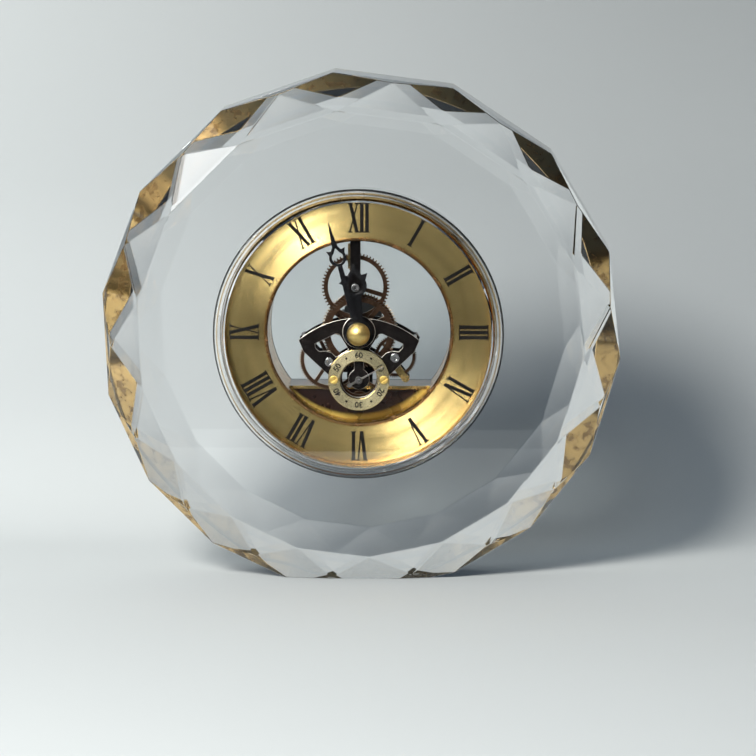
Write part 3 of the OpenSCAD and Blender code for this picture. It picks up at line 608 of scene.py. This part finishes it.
@dataclass(frozen=True)
class Paper(Finish):
    """Matt paper with painted shade: a little paler on the floor than up its sweep."""

    colour: Colour
    shade: Colour
    one_sided: bool = False
    roughness: float = 0.85
    gloss: float = 0.2
    depth: float = 0.03 * MM
    shade_height: float = 45.0 * MM
    shade_share: float = 0.8
    patches: Pattern = Pattern(2.2, 3.0)
    patch_span: Span = (0.3, 0.75)
    patch_share: float = 0.2
    tooth: Pattern = Pattern(900.0, 3.0, 0.7)

    def build(self, graph: Graph) -> None:
        """Adds the nodes, with a clear back where the paper is one-sided."""
        height = graph.add("ShaderNodeSeparateXYZ", None, {"Vector": graph.place()})["Z"]
        # Painted shade: the paper darkens from the floor up to the shade height on the sweep.
        painted_sweep_shade = height.step(0.0, self.shade_height) * self.shade_share
        patches = graph.noise(self.patches).step(*self.patch_span) * self.patch_share
        tooth = graph.noise(self.tooth)
        sheet = graph.principled(
            base_color=graph.mix_colours(painted_sweep_shade + patches, self.colour, self.shade),
            roughness=self.roughness, specular_ior_level=self.gloss,
            normal=graph.bump(tooth, self.depth))
        if self.one_sided:
            back = graph.add("ShaderNodeNewGeometry")["Backfacing"]
            clear = graph.add("ShaderNodeBsdfTransparent")["BSDF"]
            sheet = graph.add("ShaderNodeMixShader", None, {0: back, 1: sheet, 2: clear})["Shader"]
        graph.surface(sheet)


class Stock:
    """The finishes of the clock, one for each material that it is made of."""

    crystal = ClearGlass("cut_crystal", tint=(0.97, 0.98, 0.985), shade=(0.21, 0.24, 0.28))
    lens = ClearGlass("clock_glass", refraction=1.5, shade=(0.96, 0.97, 0.97))
    rear_glass = ClearGlass("rear_glass", refraction=1.5, tint=(0.88, 0.925, 0.935),
                            shade=(0.9, 0.93, 0.94))
    gasket = ClearGlass("clear_gasket", refraction=1.42, polish=0.25, shade=(0.7, 0.72, 0.72))
    dial = SpunMetal("spun_brass", (0.57, 0.44, 0.19), (0.31, 0.215, 0.065))
    small_dial = SpunMetal("small_spun_brass", (0.78, 0.68, 0.42), (0.58, 0.49, 0.26),
                           centre=(0.0, AXIS_HEIGHT - SECONDS_DROP), slope=0.25)
    case = SolidMetal("case_brass", (0.93, 0.6, 0.22), (0.34, 0.19, 0.065), roughness=0.16)
    copper = SolidMetal("polished_copper", (0.74, 0.46, 0.22), (0.42, 0.22, 0.1), roughness=0.14)
    brass = SolidMetal("polished_brass", (0.9, 0.68, 0.28), (0.66, 0.44, 0.16), roughness=0.14)
    satin_brass = SolidMetal("satin_brass", (0.72, 0.54, 0.2), (0.55, 0.38, 0.12), roughness=0.3)
    bronze = SolidMetal("wheel_bronze", (0.115, 0.065, 0.04), (0.05, 0.028, 0.018), roughness=0.28)
    bright_edge = SolidMetal("cut_edge", (0.92, 0.87, 0.8), (0.72, 0.65, 0.55), roughness=0.38)
    wheel_edge = SolidMetal("wheel_edge", (0.78, 0.64, 0.46), (0.4, 0.29, 0.19), roughness=0.34)
    dull_steel = SolidMetal("dull_steel", (0.2, 0.19, 0.18), (0.1, 0.1, 0.1), roughness=0.3)
    screw_brass = SolidMetal("screw_brass", (0.74, 0.55, 0.17), (0.5, 0.34, 0.09), roughness=0.36)
    steel = SolidMetal("bright_steel", (0.82, 0.82, 0.83), (0.55, 0.54, 0.53), roughness=0.16)
    lacquer = Lacquer("black_lacquer", (0.005, 0.004, 0.004), (0.012, 0.009, 0.008), coat=0.3)
    hand_lacquer = Lacquer("hand_lacquer", (0.004, 0.004, 0.005), (0.008, 0.008, 0.009),
                           roughness=0.22, coat=0.2)
    # The cover's yellow metallic crescent is a painted reflection of the brass sleeve.
    brown_gloss = ReflectionPaintedLacquer("brown_gloss", (0.012, 0.004, 0.003), (0.58, 0.47, 0.12))
    brown_moulding = Lacquer("brown_moulding", (0.10, 0.042, 0.018), (0.06, 0.025, 0.012),
                             roughness=0.25, coat=0.4)
    black_plastic = Moulding("black_moulding", (0.016, 0.016, 0.017))
    white_plastic = Moulding("white_moulding", (0.78, 0.76, 0.7), roughness=0.35)
    ink = Ink("black_ink", (0.004, 0.0035, 0.0035), (0.014, 0.011, 0.009))
    wire = Winding("coil_wire", (0.72, 0.3, 0.1))
    board = SolderMask("board_mask")
    cell = CellWrap("cell_wrap")
    magnet = SolidMetal("sintered_magnet", (0.3, 0.3, 0.32), (0.14, 0.14, 0.15), roughness=0.4)
    card = Paper("black_card", (0.02, 0.02, 0.02), (0.03, 0.03, 0.03))
    # The paper's second colour gives painted shade up the sweep, and the tone of its random
    # patches.
    paper = Paper("paper_sweep", (0.66, 0.695, 0.695), (0.53, 0.563, 0.57), one_sided=True)


class Edge(Enum):
    """How wide the chamfer of a piece is, in metres."""

    FINE = 0.05 * MM
    SMALL = 0.1 * MM
    CUT = 0.3 * MM


def stand(title: str, shape: bmesh.types.BMesh, finish: Finish,
          rim: Finish | None = None) -> bpy.types.Object:
    """Turns a bmesh into an object of the scene.

    Args:
        title: The object's name.
        shape: The bmesh, which is freed.
        finish: The finish of its faces.
        rim: A second finish, for the faces that ask for it.

    Returns:
        The object.
    """
    mesh = bpy.data.meshes.new(title)
    shape.to_mesh(mesh)
    shape.free()
    made = bpy.data.objects.new(title, mesh)
    bpy.context.scene.collection.objects.link(made)
    mesh.materials.append(finish.material())
    if rim:
        mesh.materials.append(rim.material())
    return made


@dataclass
class Bench:
    """Gives finishes to the frame's nodes and makes chamfered copies of them."""

    nodes: dict[str, bpy.types.Object]
    body_of_node: dict[str, str]
    slot_of_node: dict[str, str]
    dressed: set[str] = field(default_factory=set)

    def dress(self, finish: Finish, *names: str) -> None:
        """Gives nodes a finish.

        Args:
            finish: The finish.
            names: The nodes.
        """
        for name in names:
            self._paint(self.nodes[name], finish)
            self.dressed.add(name)
            log.info("%s: %s", name, finish.name)

    def chamfer(self, name: str, finish: Finish, edge: Edge,
                rim: Finish | None = None) -> bpy.types.Object:
        """Stands a copy with chamfered edges in for a flat node.

        Args:
            name: The node.
            finish: The finish of its faces.
            edge: The width of the chamfer.
            rim: The finish of the chamfers, that of the faces when left out.

        Returns:
            The new piece.
        """
        shape = self.whole_faces(name)
        crisp = [e for e in shape.edges
                 if e.is_manifold and e.calc_face_angle() > SHARP_ANGLE
                 and any(abs(f.normal.y) > FACE_ON for f in e.link_faces)]
        self.bevel(shape, crisp, edge.value, segments=2)
        for face in shape.faces:
            slanted = SLANT[0] < abs(face.normal.y) < SLANT[1]
            face.material_index = 1 if rim and slanted else 0
        return self.finish_piece(name + "_chamfered", shape, name, finish, rim)

    def whole_faces(self, name: str) -> bmesh.types.BMesh:
        """A copy of a node's mesh, welded, with each flat face in one piece.

        Args:
            name: The node.

        Returns:
            The bmesh.
        """
        shape = bmesh.new()
        shape.from_mesh(self.nodes[name].data)
        bmesh.ops.remove_doubles(shape, verts=shape.verts, dist=WELD)
        bmesh.ops.dissolve_limit(shape, angle_limit=FLAT_ANGLE, verts=shape.verts,
                                 edges=shape.edges, delimit={"NORMAL"})
        return shape

    @staticmethod
    def bevel(shape: bmesh.types.BMesh, edges: list[bmesh.types.BMEdge], width: float,
              segments: int) -> None:
        """Bevels edges.

        Args:
            shape: The bmesh that has them.
            edges: The edges.
            width: How far the bevel reaches on each side, in metres.
            segments: How many strips of faces it has.
        """
        bmesh.ops.bevel(shape, geom=edges, offset=width, offset_type="OFFSET",
                        affect="EDGES", segments=segments, profile=0.5, material=-1,
                        clamp_overlap=True)

    def finish_piece(self, title: str, shape: bmesh.types.BMesh, name: str, finish: Finish,
                     rim: Finish | None = None,
                     crease: float = CREASE_ANGLE) -> bpy.types.Object:
        """Turns a bmesh into a piece that stands for a node.

        Args:
            title: The piece's name.
            shape: The bmesh, which is freed.
            name: The node that it stands for.
            finish: The finish of its faces.
            rim: A second finish, for the faces that ask for it.
            crease: The least angle that stays sharp, in radians.

        Returns:
            The piece.
        """
        piece = self.new_piece(title, shape, self.body_of_node[name], self.slot_of_node[name],
                               finish, rim, crease)
        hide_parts(name)
        self.dressed.add(name)
        return piece

    def new_piece(self, title: str, shape: bmesh.types.BMesh, body: str, slot: str,
                  finish: Finish, rim: Finish | None = None,
                  crease: float = CREASE_ANGLE) -> bpy.types.Object:
        """Turns a bmesh into a piece that rides on a body.

        Args:
            title: The piece's name.
            shape: The bmesh, which is freed.
            body: The body that it rides on.
            slot: The record's material slot; not used.
            finish: The finish of its faces.
            rim: A second finish, for the faces that ask for it.
            crease: The least angle that stays sharp, in radians.

        Returns:
            The piece.
        """
        for face in shape.faces:
            face.smooth = abs(face.normal.y) < FACE_ON
        for line in shape.edges:
            line.smooth = line.is_manifold and line.calc_face_angle() < crease
        piece = stand(title, shape, finish, rim)
        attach(piece, body)
        log.info("%s: %s, %d faces", title, finish.name, len(piece.data.polygons))
        return piece

    @staticmethod
    def _paint(piece: bpy.types.Object, finish: Finish) -> None:
        """Puts a finish in every material slot of a piece."""
        for slot in piece.material_slots:
            slot.material = finish.material()


@dataclass
class Section:
    """A group of the clock's pieces."""

    bench: Bench

    def build(self) -> None:
        """Dresses the pieces."""
        raise NotImplementedError


@dataclass
class CrystalBlock(Section):
    """The cut crystal that holds the insert, with its facet edges broken."""

    arris: float = 0.18 * MM
    clear_of_bore: float = 50.0 * MM
    facet_angle: float = math.radians(2.0)
    crease: float = math.radians(4.0)

    def build(self) -> None:
        """Dresses the crystal."""
        shape = self.bench.whole_faces("crystal_block")
        facet_edges = [e for e in shape.edges if self._is_facet_edge(e)]
        self.bench.bevel(shape, facet_edges, self.arris, segments=1)
        self.bench.finish_piece("crystal_block_cut", shape, "crystal_block", Stock.crystal,
                                crease=self.crease)

    def _is_facet_edge(self, line: bmesh.types.BMEdge) -> bool:
        """Whether an edge lies between two facets, away from the bore."""
        middle = (line.verts[0].co + line.verts[1].co) / 2
        off_axis = math.hypot(middle.x, middle.z - AXIS_HEIGHT)
        return (line.is_manifold and off_axis > self.clear_of_bore
                and line.calc_face_angle() > self.facet_angle)


@dataclass
class InsertCase(Section):
    """Case ring, gasket, lens and the parts that close the insert at the back."""

    def build(self) -> None:
        """Dresses the case."""
        self.bench.dress(Stock.lens, "front_lens")
        self.bench.dress(Stock.rear_glass, "rear_window")
        self.bench.dress(Stock.gasket, "insert_gasket")
        self.bench.dress(Stock.case, "case_ring")
        self.bench.chamfer("rear_cover", Stock.black_plastic, Edge.SMALL)
        self.bench.chamfer("battery_door", Stock.black_plastic, Edge.SMALL)


@dataclass
class Dial(Section):
    """Brass hour ring with its numerals, and the sleeve of its opening."""

    def build(self) -> None:
        """Dresses the dial."""
        self.bench.chamfer("dial_ring", Stock.dial, Edge.SMALL)
        self.bench.dress(Stock.copper, "dial_sleeve")
        self.bench.dress(Stock.ink, "hour_numerals")


@dataclass
class SecondsDial(Section):
    """Small ring dial with numbers, dots and two slotted screws."""

    number_radius: float = 7.7 * MM
    number_height: float = 1.75 * MM
    font_size_per_height: float = 1.42
    bolder: float = 0.05 * MM
    print_depth: float = 3.7 * MM
    print_thickness: float = 0.1 * MM
    numbers: tuple[str, ...] = ("60", "10", "20", "30", "40", "50")

    def build(self) -> None:
        """Dresses the ring and prints its numbers."""
        self.bench.chamfer("subdial_ring", Stock.small_dial, Edge.SMALL, Stock.brass)
        self.bench.dress(Stock.ink, "subdial_dots")
        self.bench.dress(Stock.steel, "subdial_spacers")
        self.bench.chamfer("subdial_screws", Stock.screw_brass, Edge.SMALL)
        self._print_numbers()

    def _print_numbers(self) -> None:
        """Prints the numbers with their feet to the centre."""
        shape = bmesh.new()
        upright = Matrix.Rotation(math.radians(90.0), 4, "X")
        outward = Matrix.Translation((0.0, 0.0, self.number_radius - self.number_height / 2))
        face = Matrix.Translation((0.0, self.print_depth - HALF_THICKNESS,
                                   AXIS_HEIGHT - SECONDS_DROP))
        step = 360.0 / len(self.numbers)
        for index, word in enumerate(self.numbers):
            letters = self._letters(word)
            turn = Matrix.Rotation(math.radians(index * step), 4, "Y")
            letters.transform(face @ turn @ outward @ upright)
            shape.from_mesh(letters)
            bpy.data.meshes.remove(letters)
        self.bench.new_piece("subdial_numbers", shape, self.bench.body_of_node["subdial_ring"],
                             self.bench.slot_of_node["subdial_dots"], Stock.ink)

    def _letters(self, word: str) -> bpy.types.Mesh:
        """A printed number.

        Args:
            word: The number.

        Returns:
            Its mesh, centred, in the XY plane.
        """
        curve = bpy.data.curves.new("number_" + word, "FONT")
        curve.body = word
        curve.size = self.number_height * self.font_size_per_height
        curve.align_x = "CENTER"
        curve.offset = self.bolder
        curve.extrude = self.print_thickness / 2
        curve.resolution_u = 4
        writer = bpy.data.objects.new("number_" + word, curve)
        mesh = bpy.data.meshes.new_from_object(writer)
        bpy.data.objects.remove(writer)
        bpy.data.curves.remove(curve)
        return mesh


@dataclass
class Plates(Section):
    """Front and rear plates, the upper bridge and the small parts that join them."""

    def build(self) -> None:
        """Dresses the plates."""
        self.bench.chamfer("front_plate", Stock.lacquer, Edge.CUT, Stock.bright_edge)
        self.bench.chamfer("rear_plate", Stock.lacquer, Edge.CUT, Stock.bright_edge)
        self.bench.chamfer("upper_bridge", Stock.lacquer, Edge.SMALL, Stock.wheel_edge)
        self.bench.chamfer("bridge_strip", Stock.brass, Edge.SMALL)
        self.bench.chamfer("side_stay", Stock.brass, Edge.SMALL)
        self.bench.chamfer("bearing_bushes", Stock.steel, Edge.SMALL)
        self.bench.chamfer("bridge_screw", Stock.steel, Edge.SMALL)
        self.bench.dress(Stock.steel, "plate_pillars", "pillar_screws")


@dataclass
class WheelTrain(Section):
    """Wheels, pinions and arbors that drive the hands."""

    bronze_wheels: tuple[str, ...] = (
        "minute_wheel", "hour_wheel", "centre_wheel", "third_wheel", "seconds_wheel",
        "idler_wheel", "first_wheel")
    steel_parts: tuple[str, ...] = (
        "idler_arbor", "seconds_arbor", "third_pinion", "centre_arbor", "minute_pinion",
        "first_pinion", "rotor_pinion")

    def build(self) -> None:
        """Dresses the train."""
        for name in self.bronze_wheels:
            self.bench.chamfer(name, Stock.bronze, Edge.SMALL, Stock.wheel_edge)
        self.bench.dress(Stock.steel, *self.steel_parts)
        self.bench.dress(Stock.brass, "cannon_pinion", "hour_pipe")


@dataclass
class Hands(Section):
    """Hour, minute and seconds hands with the domed nut and the set knob."""

    def build(self) -> None:
        """Dresses the hands."""
        self.bench.chamfer("minute_hand", Stock.hand_lacquer, Edge.SMALL)
        self.bench.chamfer("hour_hand", Stock.hand_lacquer, Edge.SMALL)
        self.bench.chamfer("seconds_hand", Stock.dull_steel, Edge.FINE)
        self.bench.dress(Stock.satin_brass, "hand_nut")
        self.bench.chamfer("set_knob", Stock.black_plastic, Edge.SMALL)


@dataclass
class PowerUnit(Section):
    """Crescent housing with its cell and the quartz motor."""

    def build(self) -> None:
        """Dresses the unit."""
        self.bench.dress(Stock.brown_gloss, "housing_cover")
        self.bench.dress(Stock.brown_moulding, "battery_housing")
        self.bench.dress(Stock.black_plastic, "clock_chip")
        self.bench.chamfer("housing_edge", Stock.brass, Edge.SMALL)
        self.bench.dress(Stock.cell, "dry_cell")
        self.bench.dress(Stock.steel, "cell_contacts", "quartz_can", "stator")
        self.bench.dress(Stock.board, "circuit_board")
        self.bench.dress(Stock.white_plastic, "coil_bobbin")
        self.bench.dress(Stock.wire, "coil_winding")
        self.bench.dress(Stock.magnet, "rotor_magnet")


@dataclass(frozen=True)
class Lamp:
    """A soft lamp that faces the clock. Its measures are in metres, its power in watts."""

    title: str
    direction: tuple[float, float, float]
    distance: float
    size: tuple[float, float]
    power: float

    def hang(self, colour: Colour) -> None:
        """Hangs the lamp in its direction from the middle of the dial.

        Args:
            colour: The colour of its light.
        """
        light = bpy.data.lights.new(self.title, "AREA")
        light.shape = "ELLIPSE"
        light.size, light.size_y = self.size
        light.energy = self.power
        light.color = colour
        lamp = bpy.data.objects.new(self.title, light)
        middle = Vector((0.0, 0.0, AXIS_HEIGHT))
        lamp.location = middle + Vector(self.direction).normalized() * self.distance
        aim = (middle - lamp.location).to_track_quat("-Z", "Y")
        lamp.rotation_euler = aim.to_euler()
        bpy.context.scene.collection.objects.link(lamp)


@dataclass
class Studio:
    """Paper sweep, lamps, flag and surroundings."""

    sweep_front: float = -0.31
    sweep_start: float = 0.05
    sweep_radius: float = 0.11
    half_width: float = 0.55
    height: float = 0.6
    sweep_steps: int = 24
    daylight: Colour = (1.0, 0.985, 0.955)
    backdrop: Colour = (0.58, 0.62, 0.625)
    ceiling_right: Colour = (0.022, 0.034, 0.056)
    ceiling_left: Colour = (0.08, 0.112, 0.155)
    ground: Colour = (0.012, 0.012, 0.013)
    side_span: Span = (-0.9, 0.9)
    horizon_span: Span = (-0.06, 0.3)
    bounce_span: Span = (0.2, 0.8)
    flag_corners: tuple[tuple[float, float, float], ...] = (
        (-0.225, -0.42, 0.49), (0.35, -0.42, 0.85))
    lamps: tuple[Lamp, ...] = (
        Lamp("front_lamp", direction=(-0.34, -0.74, 0.58), distance=1.3, size=(0.38, 0.38),
             power=17.2),
        Lamp("glint_lamp", direction=(-0.57, -0.71, 0.40), distance=1.0, size=(0.34, 0.34),
             power=2.6),
        Lamp("left_lamp", direction=(-0.93, -0.1, 0.36), distance=0.7, size=(0.3, 0.6),
             power=0.8))

    def build(self) -> None:
        """Sets the paper, the lamps, the flag and the world."""
        self._lay_paper()
        for lamp in self.lamps:
            lamp.hang(self.daylight)
        self._hang_flag()
        self._surroundings()
        log.info("studio: paper sweep and lamps")

    def _lay_paper(self) -> None:
        """Lays the paper along the floor and up behind the clock."""
        shape = bmesh.new()
        front = shape.verts.new((-self.half_width, self.sweep_front, 0.0))
        back = shape.verts.new((-self.half_width, self.sweep_start, 0.0))
        shape.edges.new((front, back))
        turned = bmesh.ops.spin(
            shape, geom=[back], cent=(-self.half_width, self.sweep_start, self.sweep_radius),
            axis=(1.0, 0.0, 0.0), angle=math.radians(90.0), steps=self.sweep_steps,
            use_duplicate=False)
        top = [v for v in turned["geom_last"] if isinstance(v, bmesh.types.BMVert)]
        raised = bmesh.ops.extrude_vert_indiv(shape, verts=top)
        bmesh.ops.translate(shape, verts=raised["verts"], vec=(0.0, 0.0, self.height))
        side = bmesh.ops.extrude_edge_only(shape, edges=shape.edges)
        far = [v for v in side["geom"] if isinstance(v, bmesh.types.BMVert)]
        bmesh.ops.translate(shape, verts=far, vec=(2 * self.half_width, 0.0, 0.0))
        bmesh.ops.recalc_face_normals(shape, faces=shape.faces)
        floor = max(shape.faces, key=lambda face: abs(face.normal.z))
        if floor.normal.z < 0.0:
            bmesh.ops.reverse_faces(shape, faces=shape.faces)
        for face in shape.faces:
            face.smooth = True
        sweep = stand("paper_sweep", shape, Stock.paper)

    def _hang_flag(self) -> None:
        """Hangs a black card that shades the upper right of the paper."""
        shape = bmesh.new()
        (left, depth, low), (right, _, high) = self.flag_corners
        round_card = ((left, low), (right, low), (right, high), (left, high))
        shape.faces.new([shape.verts.new((x, depth, z)) for x, z in round_card])
        card = stand("flag_card", shape, Stock.card)
        card.visible_camera = card.visible_transmission = False

    def _surroundings(self) -> None:
        """Gives the room a blue ceiling and a darker side, and a pale backdrop to look at.

        The backdrop is what the camera sees past the paper, straight or through clear glass.
        It isn't seen in reflections and doesn't light the clock.
        """
        world = bpy.data.worlds.new("room")
        world.use_nodes = True
        bpy.context.scene.world = world
        graph = Graph(world.node_tree)
        towards = graph.add("ShaderNodeTexCoord")["Generated"]
        parts = graph.add("ShaderNodeSeparateXYZ", None, {"Vector": towards})
        left = (parts["X"] * -1.0).step(*self.side_span)
        above = graph.mix_colours(left, self.ceiling_right, self.ceiling_left)
        lift = parts["Z"].step(*self.horizon_span)
        room = graph.mix_colours(lift, self.ground, above)
        path = graph.add("ShaderNodeLightPath")
        unmirrored = 1.0 - path["Glossy Depth"].step(*self.bounce_span)
        seen = path["Is Camera Ray"].highest(path["Is Transmission Ray"] * unmirrored)
        room = graph.mix_colours(seen, room, self.backdrop)
        back = graph.add("ShaderNodeBackground", None, {"Color": room, "Strength": 1.0})
        graph.add("ShaderNodeOutputWorld", None, {"Surface": back["Background"]})


@dataclass
class Viewer:
    """The camera, at the photograph's viewing angle."""

    azimuth: float = 1.5
    elevation: float = 7.3
    distance: float = 1.5
    focal: float = 230.0
    sensor: float = 36.0
    clip: tuple[float, float] = (0.05, 20.0)
    aim: tuple[float, float, float] = (5.5 * MM, 0.0, AXIS_HEIGHT - 16.0 * MM)

    def build(self) -> None:
        """Sets the camera. The lens and the sensor are in millimetres, the rest in metres."""
        turn, lift = math.radians(self.azimuth), math.radians(self.elevation)
        away = Vector((math.sin(turn) * math.cos(lift), -math.cos(turn) * math.cos(lift),
                       math.sin(lift)))
        lens = bpy.data.cameras.new("camera")
        lens.lens = self.focal
        lens.sensor_width = self.sensor
        lens.clip_start, lens.clip_end = self.clip
        camera = bpy.data.objects.new("camera", lens)
        camera.location = Vector(self.aim) + away * self.distance
        camera.rotation_euler = away.to_track_quat("Z", "Y").to_euler()
        bpy.context.scene.collection.objects.link(camera)
        bpy.context.scene.camera = camera
        log.info("camera: azimuth %.1f, elevation %.1f", self.azimuth, self.elevation)


def main() -> None:
    """Builds the clock's looks and the studio round it."""
    logging.basicConfig(level=logging.INFO, format="%(message)s", force=True)
    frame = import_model()
    bpy.context.view_layer.update()
    behaviour = frame["record"]["behaviour"]
    bench = Bench(
        nodes=frame["nodes"],
        body_of_node={n: body for body, held in behaviour["bodies"].items() for n in held},
        slot_of_node={s["node"]: s["material_slot"] for s in frame["record"]["subparts"]})
    bpy.context.scene.view_settings.view_transform = "Standard"
    Viewer().build()
    Studio().build()
    for part in (CrystalBlock, InsertCase, Dial, SecondsDial, Plates, WheelTrain, Hands,
                 PowerUnit):
        part(bench).build()
    bare = sorted(set(bench.nodes) - bench.dressed)
    log.info("nodes without a finish: %s", bare or "none")
    bpy.context.view_layer.update()


if __name__ == "__main__":
    main()
